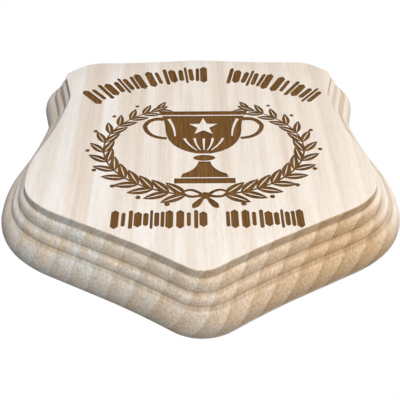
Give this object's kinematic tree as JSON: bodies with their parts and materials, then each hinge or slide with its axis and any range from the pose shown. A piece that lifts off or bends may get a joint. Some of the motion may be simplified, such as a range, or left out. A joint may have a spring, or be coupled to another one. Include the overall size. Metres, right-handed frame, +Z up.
{
  "type": "wooden trophy plaque",
  "caption": "Shield-shaped hardwood wall plaque with a flat face, a routed moulding of small beads and a large rounded edge, and a keyhole in the back.",
  "frame": {"origin": "on the flat back, on the centreline, in the middle of the plaque's height", "axes": "+Y out of the back towards the wall, -Y out of the engraved face, +Z up as the plaque hangs, +X to the right of someone who looks at the engraved face"},
  "size_m": [0.1292, 0.022, 0.1301],
  "materials": {
    "beech": "satin lacquered pale hardwood"
  },
  "bodies": {
    "root": {"plaque_board": "beech"}
  },
  "joints": []
}
